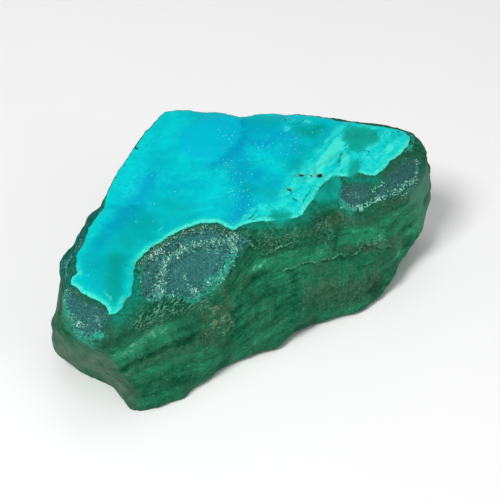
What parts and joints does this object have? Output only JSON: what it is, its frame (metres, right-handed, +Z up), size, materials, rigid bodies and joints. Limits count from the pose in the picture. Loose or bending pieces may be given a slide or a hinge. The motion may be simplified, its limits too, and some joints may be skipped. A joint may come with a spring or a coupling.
{
  "type": "raw malachite specimen",
  "caption": "Rough hand specimen of banded green malachite: a broken stone with a blue-green chrysocolla crust on its top face, for display or set dressing",
  "frame": {"origin": "the middle of the stone's box in plan, on the plane that it rests on", "axes": "+Z up out of the crust face; +X along the longest side, to the right as pictured; -Y towards the broken front wall"},
  "size_m": [0.0808, 0.067, 0.0319],
  "materials": {
    "malachite": "rough"
  },
  "bodies": {
    "root": {"malachite_stone": "malachite"}
  },
  "joints": []
}
